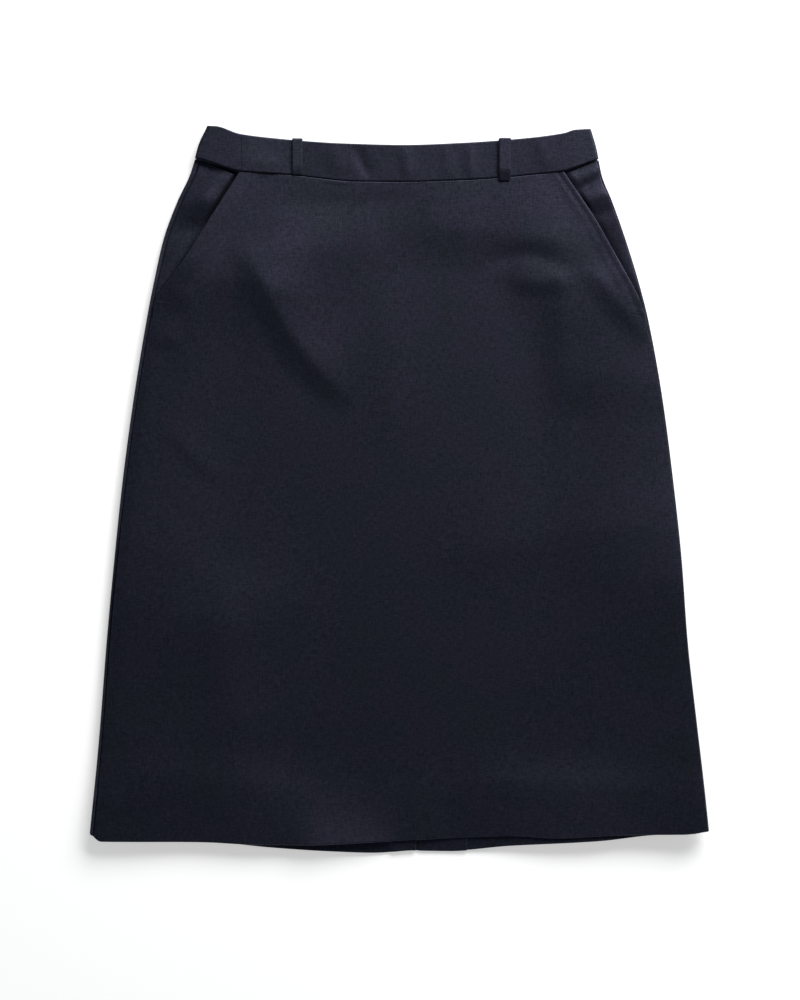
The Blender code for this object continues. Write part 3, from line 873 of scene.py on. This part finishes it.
def facing_grid(side):
    """Return the points of a facing, from the side seam to behind the mouth."""
    rim = CLOTH / 2.0
    bottom = mouth_end[side] - FACING_BELOW + rim
    y_side = bottom + spaced(SIDE_TOP - bottom, EDGE_STEPS, FACING_ROW_STEP)[:, None]
    lap = side_lap(side, y_side)
    outer = side_fold[side](y_side) - side * (side_strip[side](y_side) + rim - lap)
    inner = mouth[side](y_side) - side * FACING_UNDER
    x = mix(outer, inner, shares(*FACING_COLUMNS))

    mouth_x = mouth[side](np.maximum(y_side, mouth_end[side]))
    past_mouth = side * (mouth_x - x)
    to_mouth = 1.0 + np.minimum(past_mouth, 0.0) / (side * (outer - mouth_x)).clip(1.0)
    wedge = mix(*WEDGE[side], to_mouth.clip(0.0, 1.0))
    y = bowed(y_side, side_low[side], SIDE_TOP, 0.0,
              waist_seam(x) - BAND_SHADOW - wedge - rim - SIDE_TOP)

    past_mouth = side * (mouth[side](np.maximum(y, mouth_end[side])) - x)
    sunk = np.maximum(ease(-SINK_BESIDE_MOUTH, 0.0, past_mouth),
                      1.0 - ease(*SINK_BELOW_BAND, waist_seam(x) - y))
    shown = 1.0 - ease(-CREASE_FADE[side], 0.0, past_mouth)
    height = lift(x, y) + 2.0 * CLOTH + INSIDE_GAP - FACING_SINK * sunk
    height = height + facing_roll(side, -ROLL_SLANT * past_mouth, y)
    from_edge = side * (outer - x)
    height = height + FACING_EDGE_RISE[side] * (1.0 - ease(0.0, FACING_EDGE_REACH, from_edge))
    height = height + shown * creased(x, y, FACING_CREASES[side])
    points = np.stack((x, y, height), axis=-1)
    return points[:, ::-1] if side > 0 else points


facings = {side: cloth_shell(f"facing_cloth_{place}", facing_grid(side), CLOTH, suiting,
                             "suiting", f"pocket_facing_{place}")
           for side, place in SIDE_NAMES.items()}

# %% [markdown]
# ## Waistband
#
# One strip with a stiffening inside runs right round and is pressed flat at the sides. It
# is nearly twice as thick as the cloth, so its rounded edges are plumper and it stands proud
# at the waist seam. It stands off further over both pockets. A few shallow creases cross it
# where it was folded and sewn.

# %% Waistband
BAND_CREASES = (
    (((-46, 330), (-37, 312), (-26, 290)), 11, 6, 2, -0.75),
    (((-66, 330), (-60, 312), (-58, 296)), 16, 12, 4, 0.5),
    (((-158, 314), (-134, 309.5), (-104, 306)), 13, 9, 4, 0.35),
    (((2, 330), (6, 312), (8, 290)), 14, 7, 2.5, 0.65),
    (((42, 332), (44, 312), (46, 290)), 12, 6, 2, 0.4),
    (((68, 332), (67, 312), (69, 290)), 7, 7, 2.5, 0.6),
    (((132, 340), (136, 318), (138, 300)), 16, 10, 4, 0.45),
)
BAND_SEAM_X = -149.8
BAND_LEAN = 0.15
BAND_FOLD_DEPTH = 0.45
BAND_SEAM_STEP = 0.1
BAND_SEAM_REACH = 45.0
BAND_SEAM_SOFTNESS = 0.3
BAND_SEAM_SPREAD = 0.1
BAND_SEAM_COLUMNS = (-1.2, -0.5, -0.15, 0.0, 0.15, 0.5, 1.2)
BAND_FRONT_COLUMNS = 150
BAND_ROWS = (31.0, 2.0)
BAND_BACK_COLUMNS = (180.0, 5.0)
# how far the band's front stands off over each pocket, and where along x that begins and ends
BAND_STAND = {-1: (4.6, 88, 160), 1: (1.8, 110, 170)}


def band_stand(x):
    """Return how far the band's front stands off over the pockets."""
    return sum(stand * ease(start, end, side * x)
               for side, (stand, start, end) in BAND_STAND.items())


def band_grid():
    """Return the band's points: half its back, its front and the other half."""
    radius = BAND_CLOTH + BAND_INSIDE_GAP / 2.0
    rim = BAND_CLOTH / 2.0
    share = shares(*BAND_ROWS)[:, None]
    depth = BAND_FOLD_DEPTH * radius
    left = side_fold[-1](mix(SIDE_TOP, BAND_TOP[0][1], share)) + depth
    right = side_fold[1](mix(SIDE_TOP, BAND_TOP[-1][1], share)) - depth
    edge = SEAM_GAP / 2.0 + rim
    half = shares(*BAND_BACK_COLUMNS)
    angle = np.linspace(0.0, math.pi, ARC_STEPS + 1)[1:-1]
    width = right[0] - left[0]
    seam_share = (BAND_SEAM_X - left[0]) / width
    seam = seam_share + np.array(BAND_SEAM_COLUMNS) / width
    even = np.linspace(0.0, 1.0, BAND_FRONT_COLUMNS)
    front_shares = np.sort(np.concatenate((even, seam)))
    upright = BAND_SEAM_X - mix(left, right, seam_share)
    near_seam = hump((front_shares - seam_share) / BAND_SEAM_SPREAD)
    front_x = mix(left, right, front_shares) + upright * near_seam
    parts = (
        (mix(CENTRE_BACK - edge, left, half), 0.0 * half),
        (left - depth * np.sin(angle), angle),
        (front_x, 0.0 * front_shares + math.pi),
        (right + depth * np.sin(angle[::-1]), angle[::-1]),
        (mix(right, CENTRE_BACK + edge, half), 0.0 * half),
    )
    x = np.concatenate([part[0] for part in parts], axis=1)
    turn = np.concatenate([part[1] for part in parts])
    low = waist_seam(x) + rim
    y = mix(low, band_top(x) - rim, share)
    height = lift(x, y) + radius * (1.0 - np.cos(turn))
    on_front = ease(math.pi / 2.0, math.pi, turn)
    height = height + on_front * creased(x, y, BAND_CREASES)
    height = height + on_front * band_stand(x) * (1.0 - BAND_LEAN * share)
    past_seam = x - BAND_SEAM_X
    step = ease(-BAND_SEAM_SOFTNESS, BAND_SEAM_SOFTNESS, past_seam)
    step = step * (1.0 - ease(0.0, BAND_SEAM_REACH, past_seam))
    height = height + on_front * BAND_SEAM_STEP * step
    return np.stack((x, y, height), axis=-1)


band = cloth_shell("waistband_cloth", band_grid(), BAND_CLOTH, band_suiting, "band_suiting",
                   "waistband")

# %% [markdown]
# ## Belt loops
#
# Each loop is a narrow strip folded in three and sewn over the band. Its upper end turns
# over the band's top edge, and the right front one hangs a few millimetres below the seam.

# %% Belt loops
# x of the middle, width, y of the lower end, height over the band: along it and at that end,
# and how far up the lower end slopes
LOOPS = {
    "front_left": (-96.9, 9.6, 299, 2.4, 1.6, 6),
    "front_right": (100.1, 10.4, 293.2, 4.2, 1.5, 9.5),
    "back_left": (-96.9, 9.2, 299.4, 1.5, 1.5, 3),
    "back_right": (100.1, 10, 296.8, 1.5, 1.5, 3),
}
LOOP_TURN_STEPS = 8
# most wall of a front loop, whose sides reach down towards the band
LOOP_SIDE = 2.9
LOOP_TILT = 0.5
# places of the first points in from an edge, and the step between points further in
LOOP_ROWS = ((0.0, 0.5, 1.2, 2.5), 2.0)
LOOP_COLUMNS = ((0.0, 0.4, 1.0, 2.0), 1.0)
LOOP_THINNED = 0.2


def loop_grid(middle, width, low_end, stand, end_stand, slope_length, on_front):
    """Return the points and walls of a loop, from its lower end to over the band's edge."""
    rim = LOOP_CLOTH / 2.0
    outside = SEAM_GAP + LOOP_CLOTH
    top = max(band_top(middle - width / 2.0), band_top(middle + width / 2.0)) + outside
    straight = spaced(top - outside - low_end - rim, *LOOP_ROWS) + low_end + rim
    risen = np.clip((straight - low_end) / slope_length, 0.0, 1.0)
    angle = np.linspace(0.0, math.pi / 2.0, LOOP_TURN_STEPS + 1)[1:]
    y = np.concatenate((straight, top - outside * (1.0 - np.sin(angle)), [top]))
    out = np.concatenate((mix(end_stand, stand, risen), stand * np.cos(angle),
                          [-BAND_CLOTH + rim]))
    wall = np.clip(out - SEAM_GAP - LOOP_TILT, LOOP_CLOTH / 2.0, LOOP_SIDE)
    thinned = np.linspace(LOOP_THINNED, 1.0, len(wall) - len(straight))
    wall[len(straight):] = mix(wall[len(straight) - 1], LOOP_CLOTH, thinned)
    across = spaced(width - 2.0 * rim, *LOOP_COLUMNS) + rim - width / 2.0
    x, y = np.meshgrid(middle + across, y)
    level = 2.0 * BAND_CLOTH + BAND_INSIDE_GAP + out[:, None] if on_front else -out[:, None]
    points = np.stack((x, y, lift(x, y) + level), axis=-1)
    if on_front:
        points[..., 2] += band_stand(x) - LOOP_TILT * (x - middle + width / 2.0) / width
    return (points if on_front else points[:, ::-1]), np.broadcast_to(wall[:, None], x.shape)


loops = [cloth_shell(f"loop_cloth_{place}", *loop_grid(*sizes, place.startswith("front")),
                     band_suiting, "band_suiting", f"belt_loop_{place}")
         for place, sizes in LOOPS.items()]

# %% [markdown]
# ## Concealed zip
#
# The closure is hidden in the centre-back seam, below the band. A zip is two woven tapes
# with a nylon coil sewn along each; closed, the coils mesh into one ridge of small turns.
# Nothing of it shows while the skirt lies on its back, so the ridge is a plain row of turns.

# %% Zip tape
ZIP_LENGTH = 180.0
ZIP_WIDTH = 24.0
TAPE = 0.6
ZIP_BELOW_BAND = 1.6
ZIP_ROWS = ((0.0, 0.5, 1.2), 6.0)
ZIP_COLUMNS = ((0.0, 0.5, 1.2), 2.0)


def zip_grid():
    """Return the points of the two tapes, which lie as one closed strip."""
    rim = TAPE / 2.0
    top = waist_seam(CENTRE_BACK) - ZIP_BELOW_BAND - rim
    along = spaced(ZIP_LENGTH - 2.0 * rim, *ZIP_ROWS)
    across = spaced(ZIP_WIDTH - 2.0 * rim, *ZIP_COLUMNS)
    x, y = np.meshgrid(CENTRE_BACK - ZIP_WIDTH / 2.0 + rim + across,
                       top - ZIP_LENGTH + 2.0 * rim + along)
    return np.stack((x, y, lift(x, y) + CLOTH + SEAM_GAP + TAPE), axis=-1)


def polyester(name, finish, wave, bands, tones, relief):
    """Return black polyester with fine ridges between two tones."""
    material = new_material(name, finish)
    place = add_node(material, "ShaderNodeTexCoord").outputs["Object"]
    ridges = add_node(material, "ShaderNodeTexWave", {"Vector": place, **wave},
                      bands_direction=bands).outputs["Fac"]
    tone = add_node(material, "ShaderNodeMix", {
        0: ridges, 6: linear(tones[0]), 7: linear(tones[1])}, data_type="RGBA")
    bump = add_node(material, "ShaderNodeBump", {"Height": ridges, "Distance": relief})
    set_surface(material, {"Base Color": tone.outputs[2], "Normal": bump.outputs["Normal"]})
    return material


# ribs about 1 mm apart lie across a woven tape
zip_material = polyester(
    "woven_polyester_tape", {"Roughness": 0.6, "Specular IOR Level": 0.4},
    wave={"Scale": 0.3 / MM, "Distortion": 0.4, "Detail": 1.0}, bands="Y",
    tones=("#0A0B0F", "#14161D"), relief=0.1 * MM)
zip_tape = cloth_shell("zip_tape", zip_grid(), TAPE, zip_material, "zip_tape",
                       "zip_centre_back")

# %% [markdown]
# ## Stitches
#
# Sewing thread lies in short rounded stitches with a dip between them. One function sets a
# row of them along a line; a bar-tack is a row of stitches close together across the line.
# The mouths are topstitched near the edge and tacked at the lower end. A small coin
# pocket, set into the waist seam, shows as a line below it with a tack at each end.

# %% Stitch maker
STITCH_SIDES = 6
STITCH_RINGS = (-1.0, -0.8, -0.4, 0.0, 0.4, 0.8, 1.0)
STITCH_BLUNTNESS = 0.02
THREAD = 0.45


def stitch_mesh(name, stitches, material):
    """Join stitches into one mesh; each is (middle, direction, length, thickness) in mm."""
    points, faces = [], []
    turns = [2.0 * math.pi * side / STITCH_SIDES for side in range(STITCH_SIDES)]
    for middle, direction, length, thickness in stitches:
        ahead = Vector(direction).normalized()
        aside = ahead.cross(Vector((0.0, 0.0, 1.0))).normalized()
        above = aside.cross(ahead)
        first = len(points)
        for place in STITCH_RINGS:
            radius = thickness / 2.0 * math.sqrt(
                max(1.0 - place * place, STITCH_BLUNTNESS))
            for turn in turns:
                out = aside * math.cos(turn) + above * math.sin(turn)
                points.append(Vector(middle) + ahead * (place * length / 2.0) + out * radius)
        rings = np.arange(first, len(points)).reshape(-1, STITCH_SIDES)
        for near, far in zip(rings, rings[1:]):
            sides = np.stack((near, np.roll(near, -1), np.roll(far, -1), far), axis=-1)
            faces += sides.tolist()
        faces += [rings[0, ::-1].tolist(), rings[-1].tolist()]
    print(f"{name}: {len(stitches)} stitches")
    return add_piece(name, [tuple(point * MM) for point in points], faces, material)


# two plies twisted together, a turn about every half millimetre, with a faint sheen
sewing_thread = polyester(
    "twisted_sewing_thread",
    {"Roughness": 0.5, "Specular IOR Level": 0.55, "Specular Tint": linear("#C4CAF2")},
    wave={"Scale": 0.8 / MM, "Distortion": 1.0}, bands="DIAGONAL",
    tones=("#07080B", "#0E1016"), relief=0.05 * MM)

# %% Rows and tacks on the front
STITCH_PITCH = 3.0
STITCH_LENGTH = 2.3
TACK_PITCH = 0.7
TACK_THREAD = 0.5


def stitch_row(start, end):
    """Return stitches along a straight line on the front."""
    count = max(1, int(math.dist(start, end) / STITCH_PITCH))
    ahead_x, ahead_y = (end[0] - start[0]) / count, (end[1] - start[1]) / count
    found = []
    for i in range(count):
        x = mix(start[0], end[0], (i + 0.5) / count)
        y = mix(start[1], end[1], (i + 0.5) / count)
        rise = float(front_level(x + ahead_x / 2.0, y + ahead_y / 2.0)
                     - front_level(x - ahead_x / 2.0, y - ahead_y / 2.0))
        found.append(((x, y, float(front_level(x, y))), (ahead_x, ahead_y, rise),
                      STITCH_LENGTH, THREAD))
    return found


def tack(start, end, width):
    """Return a bar-tack: close stitches that lie across the line from start to end."""
    count = int(math.dist(start, end) / TACK_PITCH)
    along_x, along_y = (end[0] - start[0]) / count, (end[1] - start[1]) / count
    found = []
    for i in range(count):
        x, y = start[0] + along_x * (i + 0.5), start[1] + along_y * (i + 0.5)
        found.append(((x, y, float(front_level(x, y))), (-along_y, along_x, 0.0), width,
                      TACK_THREAD))
    return found


# %% Mouth topstitching, tacks and the coin pocket
TOPSTITCH_FREE = 6.0
TOPSTITCH_POINTS = 24
# start, end and width of the tack at each mouth's lower end
MOUTH_TACKS = {
    -1: ((-230.5, 178), (-217, 176.5), 2.4),
    1: ((219, 168), (231.5, 166), 2.4),
}
# x of both ends and depth below the waist seam; a tack's width comes last
COIN_LINE = (-120, -80, 5)
COIN_TACKS = ((-132.5, -124.5, 3.4, 3), (-71, -50, 3.6, 4.2))


def inside_mouth(side, y):
    """Return the topstitching's point on the front, square in from the mouth's edge at y."""
    slope = float(mouth[side](y + 1.0) - mouth[side](y - 1.0)) / 2.0
    inset = TOPSTITCH_INSET
    length = math.hypot(slope, 1.0)
    return float(mouth[side](y)) - side * inset / length, y + side * inset * slope / length


def mouth_stitches(side):
    """Return the topstitching beside a mouth and the tack at its lower end."""
    heights = np.linspace(mouth_end[side] + TOPSTITCH_FREE, MOUTH_TOP - TOPSTITCH_FREE,
                          TOPSTITCH_POINTS)
    line = [inside_mouth(side, y) for y in heights]
    found = []
    for start, end in zip(line, line[1:]):
        found += stitch_row(start, end)
    return found + tack(*MOUTH_TACKS[side])


def below_seam(start_x, end_x, depth):
    """Return both ends of a line that lies this deep below the waist seam."""
    return [(x, float(waist_seam(x)) - depth) for x in (start_x, end_x)]


def coin_pocket_stitches():
    """Return the line below the waist seam and its two tacks."""
    found = stitch_row(*below_seam(*COIN_LINE))
    for *line, width in COIN_TACKS:
        found += tack(*below_seam(*line), width)
    return found


stitch_groups = {f"mouth_stitches_{place}": mouth_stitches(side)
                 for side, place in SIDE_NAMES.items()}
stitch_groups["coin_pocket_stitches"] = coin_pocket_stitches()
stitches = [stitch_mesh(name, group, sewing_thread)
            for name, group in stitch_groups.items()]

# %% Zip coil
COIL_WIDTH = 5.0
COIL_PITCH = 2.0
COIL_RISE = 0.9
COIL_INSET = 4.0


def zip_coil():
    """Return the coil's turns, from the top of the zip down."""
    top = float(waist_seam(CENTRE_BACK)) - COIL_INSET
    found = []
    for i in range(int((ZIP_LENGTH - 2.0 * COIL_INSET) / COIL_PITCH)):
        y = top - i * COIL_PITCH
        level = float(lift(CENTRE_BACK, y)) + CLOTH + SEAM_GAP + TAPE
        found.append(((CENTRE_BACK, y, level), (1.0, 0.0, 0.0), COIL_WIDTH, COIL_RISE))
    return found


coil = stitch_mesh("zip_coil", zip_coil(), zip_material)

# %% [markdown]
# ## The cut of each piece
#
# Every piece is a flat cut of cloth before it is sewn. Its width and length are the widest
# row and the longest column of its outer face, measured along the cloth. Its area is less
# than width times length where its edges slant. A belt loop's face is narrower than 10 mm,
# the least that a cut may be here, so it is declared as 10 mm wide.

LEAST_CUT = 0.010


def flat_size(points):
    """Return the width, length and area in metres of an outer face, laid out flat."""
    across = np.linalg.norm(np.diff(points, axis=1), axis=-1)
    along = np.linalg.norm(np.diff(points, axis=0), axis=-1)
    side_a, side_b = points[1:, 1:] - points[:-1, :-1], points[1:, :-1] - points[:-1, 1:]
    area = np.linalg.norm(np.cross(side_a, side_b), axis=-1).sum() / 2.0
    return across.sum(axis=1).max() * MM, along.sum(axis=0).max() * MM, area * MM * MM


def declare(piece):
    """Print the width, length and area of a piece's flat cut; a cut is at least 10 mm each way.
    """
    width, length, area = (float(size) for size in flat_size(outer_faces[piece.name]))
    width, length = max(width, LEAST_CUT), max(length, LEAST_CUT)
    print(f"{piece.name}: cut {1000 * width:.0f} x {1000 * length:.0f} mm, {area * 1e4:.0f} cm2")


declare(front)
for side in (-1, 1):
    declare(backs[side])
    declare(facings[side])
declare(band)
for loop in loops:
    declare(loop)
declare(zip_tape)
